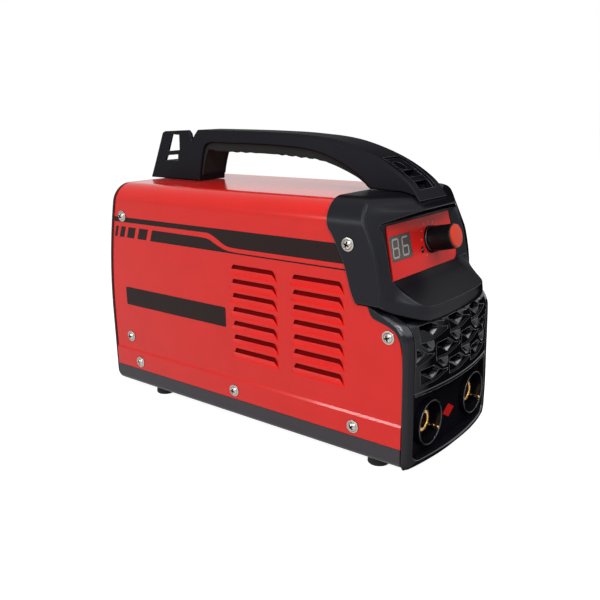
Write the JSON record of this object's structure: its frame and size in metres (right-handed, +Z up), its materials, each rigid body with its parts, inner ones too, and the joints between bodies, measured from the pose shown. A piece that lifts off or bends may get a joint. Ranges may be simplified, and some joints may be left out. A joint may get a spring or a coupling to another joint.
{
  "type": "stick welding inverter",
  "caption": "Portable stick welding inverter: louvred red steel cover on a pan, black moulded hood with display and current dial, output sockets, rear fan and switch, and a carry handle.",
  "frame": {"origin": "centre of the footprint box on the floor", "axes": "+Z up, -Y towards the front with the sockets and the dial, X across the width"},
  "size_m": [0.1212, 0.273, 0.201],
  "materials": {
    "cover_red": "glossy red enamel on sheet steel",
    "pan_grey": "satin dark grey",
    "black_plastic": "fine matt texture",
    "gloss_black": "glossy black",
    "rubber": "matt black",
    "plated_steel": "bright plating",
    "brass": "bright turned brass",
    "copper": "bare copper",
    "aluminium": "plain extruded",
    "label_red": "red film",
    "display": "grey unlit display",
    "cap_orange": "satin orange-red",
    "rocker_red": "glossy red",
    "circuit": "green board",
    "ferrite": "dark grey",
    "winding": "yellow tape",
    "capacitor": "dark blue sleeve"
  },
  "bodies": {
    "case": {"cover_shell": "cover_red", "base_pan": "pan_grey", "front_bezel": "black_plastic", "socket_panel": "black_plastic", "control_hood": "black_plastic", "handle_shell": "black_plastic", "rear_panel": "black_plastic", "socket_left": "black_plastic", "socket_right": "black_plastic", "cable_gland": "black_plastic", "gland_nut": "black_plastic", "front_grille": "gloss_black", "power_led": "gloss_black", "fan_frame": "gloss_black", "power_switch": "gloss_black", "handle_grip": "rubber", "foot_front_left": "rubber", "foot_front_right": "rubber", "foot_rear_left": "rubber", "foot_rear_right": "rubber", "screw_rear_low_left": "plated_steel", "screw_mid_low_left": "plated_steel", "screw_front_low_left": "plated_steel", "screw_rear_mid_left": "plated_steel", "screw_rear_top_left": "plated_steel", "screw_front_mid_left": "plated_steel", "screw_hood_left": "plated_steel", "screw_rear_low_right": "plated_steel", "screw_mid_low_right": "plated_steel", "screw_front_low_right": "plated_steel", "screw_rear_mid_right": "plated_steel", "screw_rear_top_right": "plated_steel", "screw_front_mid_right": "plated_steel", "screw_hood_right": "plated_steel", "dial_washer": "plated_steel", "fan_guard": "plated_steel", "earth_screw": "plated_steel", "contact_left": "brass", "contact_right": "brass", "busbar_left": "copper", "busbar_right": "copper", "output_choke": "copper", "heatsink_left": "aluminium", "heatsink_right": "aluminium", "potentiometer": "aluminium", "control_label": "label_red", "display_module": "display", "main_board": "circuit", "control_board": "circuit", "transformer_core": "ferrite", "bridge_rectifier": "ferrite", "transformer_winding": "winding", "capacitor_left": "capacitor", "capacitor_right": "capacitor"},
    "dial": {"knob": "black_plastic", "knob_cap": "cap_orange", "pot_shaft": "plated_steel"},
    "fan": {"fan_rotor": "gloss_black"},
    "rocker": {"power_rocker": "rocker_red"}
  },
  "joints": [
    {"name": "knob_turn", "type": "hinge", "parent": "case", "child": "dial", "pos_m": [0.01, -0.1066, 0.1332], "axis": [0, -0.9774, 0.2113], "range_deg": [-140, 140]},
    {"name": "fan_spin", "type": "hinge", "parent": "case", "child": "fan", "pos_m": [0, 0.102, 0.092], "axis": [0, 1, 0], "continuous": true},
    {"name": "switch_rock", "type": "hinge", "parent": "case", "child": "rocker", "pos_m": [-0.03, 0.1178, 0.032], "axis": [1, 0, 0], "range_deg": [0, 16]}
  ]
}
